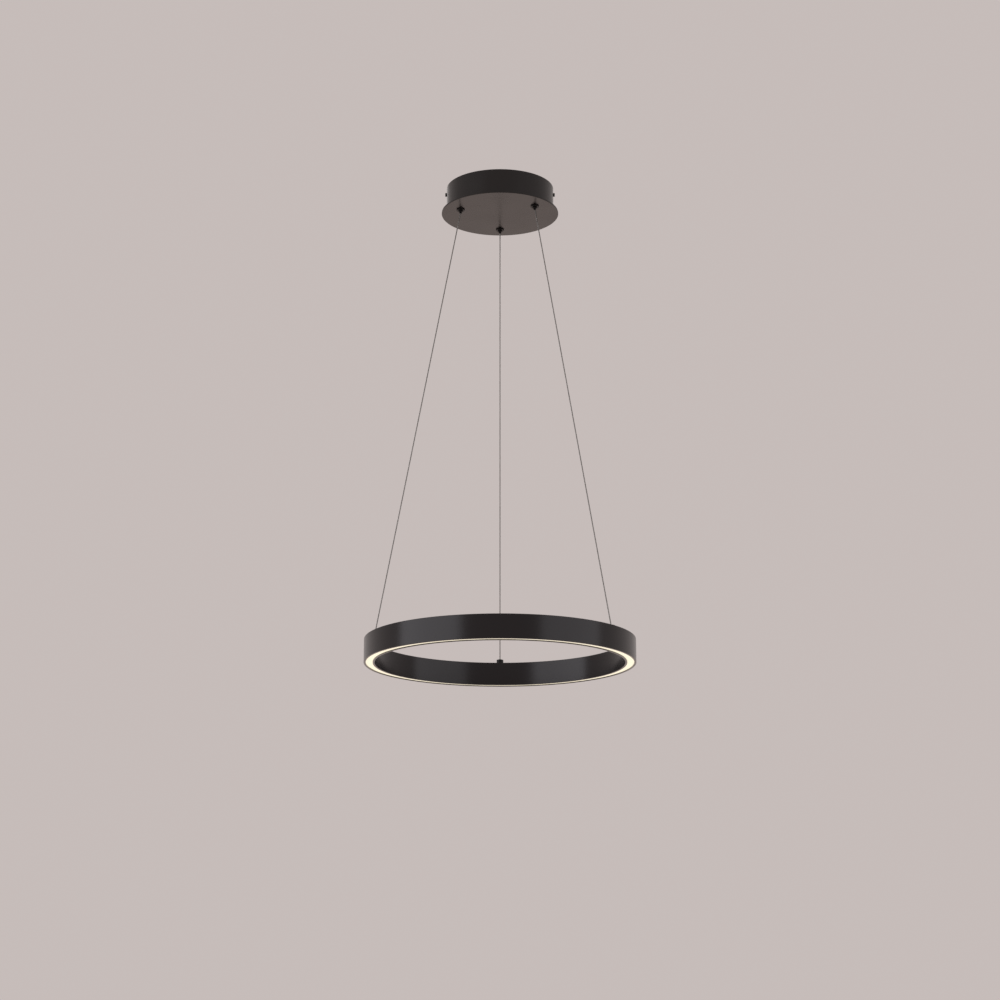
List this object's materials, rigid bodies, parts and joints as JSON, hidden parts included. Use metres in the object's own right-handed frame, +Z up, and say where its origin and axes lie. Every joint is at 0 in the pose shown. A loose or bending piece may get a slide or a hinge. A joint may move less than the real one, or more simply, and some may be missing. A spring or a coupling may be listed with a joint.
{
  "type": "led pendant light",
  "caption": "Slim black ring pendant light with a downward opal diffuser, hung on thin wires from a round canopy.",
  "frame": {"origin": "on the ceiling plane, on the canopy's axis, at the middle of the bracket's two slots", "axes": "+Z up into the ceiling, -Y towards the side that the picture shows, +X to the right; the rear wire is on +Y"},
  "size_m": [0.4, 0.4, 0.7446],
  "materials": {
    "canopy_paint": "satin black-brown powder coat",
    "ring_paint": "satin black powder coat on aluminium",
    "fitting_black": "black satin turned metal",
    "zinc_steel": "zinc plated sheet steel",
    "plated_nut": "nickel plated turned steel",
    "wire_steel": "fine stranded stainless steel",
    "spring_steel": "stainless spring wire",
    "ball_steel": "polished hardened steel",
    "opal": "opal translucent plastic, lit from behind",
    "nylon": "black moulded nylon",
    "driver_white": "white moulded polycarbonate",
    "terminal_clear": "natural nylon",
    "circuit_green": "solder-masked glass laminate",
    "led_board_white": "white solder mask on aluminium",
    "led_yellow": "phosphor under clear silicone",
    "ferrite": "sintered ferrite",
    "winding_tape": "yellow insulating tape over copper",
    "capacitor_sleeve": "shrunk dark sleeve",
    "tinned_copper": "tinned copper",
    "lead_black": "black insulation",
    "lead_brown": "brown insulation",
    "lead_green": "green insulation"
  },
  "bodies": {
    "canopy": {"ceiling_bracket": "zinc_steel", "earth_screw": "plated_nut", "canopy_cup": "canopy_paint", "canopy_plate": "canopy_paint", "gripper_plugs": "plated_nut", "gripper_bushes": "nylon", "gripper_washers": "nylon", "gripper_nuts": "plated_nut", "lead_lugs": "tinned_copper", "driver_base": "driver_white", "driver_cover": "driver_white", "driver_board": "circuit_green", "transformer_core": "ferrite", "transformer_winding": "winding_tape", "driver_capacitors": "capacitor_sleeve", "driver_choke": "ferrite", "driver_terminals": "terminal_clear", "mains_terminal": "terminal_clear", "terminal_screws": "plated_nut", "stud_nuts": "plated_nut", "mains_leads": "lead_brown", "earth_lead": "lead_green", "output_leads": "lead_black", "gripper_body_left": "fitting_black", "gripper_spring_left": "spring_steel", "gripper_body_right": "fitting_black", "gripper_spring_right": "spring_steel", "gripper_body_rear": "fitting_black", "gripper_spring_rear": "spring_steel"},
    "ring": {"ring_profile": "ring_paint", "diffuser": "opal", "led_chips": "led_yellow", "hanger_bushes": "nylon", "hanger_washers": "nylon", "hanger_nuts": "plated_nut", "hanger_lugs": "tinned_copper", "ring_leads": "lead_black", "led_board_back_right": "led_board_white", "led_board_back_left": "led_board_white", "led_board_front_left": "led_board_white", "led_board_front_right": "led_board_white", "wire_left": "wire_steel", "wire_end_left": "ball_steel", "hanger_bolt_left": "fitting_black", "wire_right": "wire_steel", "wire_end_right": "ball_steel", "hanger_bolt_right": "fitting_black", "wire_rear": "wire_steel", "wire_end_rear": "ball_steel", "hanger_bolt_rear": "fitting_black"},
    "release_left": {"release_sleeve_left": "fitting_black", "gripper_balls_left": "ball_steel"},
    "release_right": {"release_sleeve_right": "fitting_black", "gripper_balls_right": "ball_steel"},
    "release_rear": {"release_sleeve_rear": "fitting_black", "gripper_balls_rear": "ball_steel"},
    "side_screw_left": {"side_screw_left": "fitting_black"},
    "side_screw_right": {"side_screw_right": "fitting_black"}
  },
  "joints": [
    {"name": "ring_height", "type": "slide", "parent": "canopy", "child": "ring", "axis": [0, 0, 1], "range_m": [0, 0.38], "deforming": ["wire_left", "wire_right", "wire_rear"]},
    {"name": "release_left_press", "type": "slide", "parent": "canopy", "child": "release_left", "axis": [0, 0, 1], "range_m": [0, 0.0018], "stiffness_N_per_m": 400, "springref_m": -0.004, "deforming": ["gripper_spring_left"]},
    {"name": "release_right_press", "type": "slide", "parent": "canopy", "child": "release_right", "axis": [0, 0, 1], "range_m": [0, 0.0018], "stiffness_N_per_m": 400, "springref_m": -0.004, "deforming": ["gripper_spring_right"]},
    {"name": "release_rear_press", "type": "slide", "parent": "canopy", "child": "release_rear", "axis": [0, 0, 1], "range_m": [0, 0.0018], "stiffness_N_per_m": 400, "springref_m": -0.004, "deforming": ["gripper_spring_rear"]},
    {"name": "side_screw_left_turn", "type": "hinge", "parent": "canopy", "child": "side_screw_left", "pos_m": [-0.0825, 0, -0.0085], "axis": [-1, 0, 0], "continuous": true},
    {"name": "side_screw_right_turn", "type": "hinge", "parent": "canopy", "child": "side_screw_right", "pos_m": [0.0825, 0, -0.0085], "axis": [1, 0, 0], "continuous": true}
  ]
}
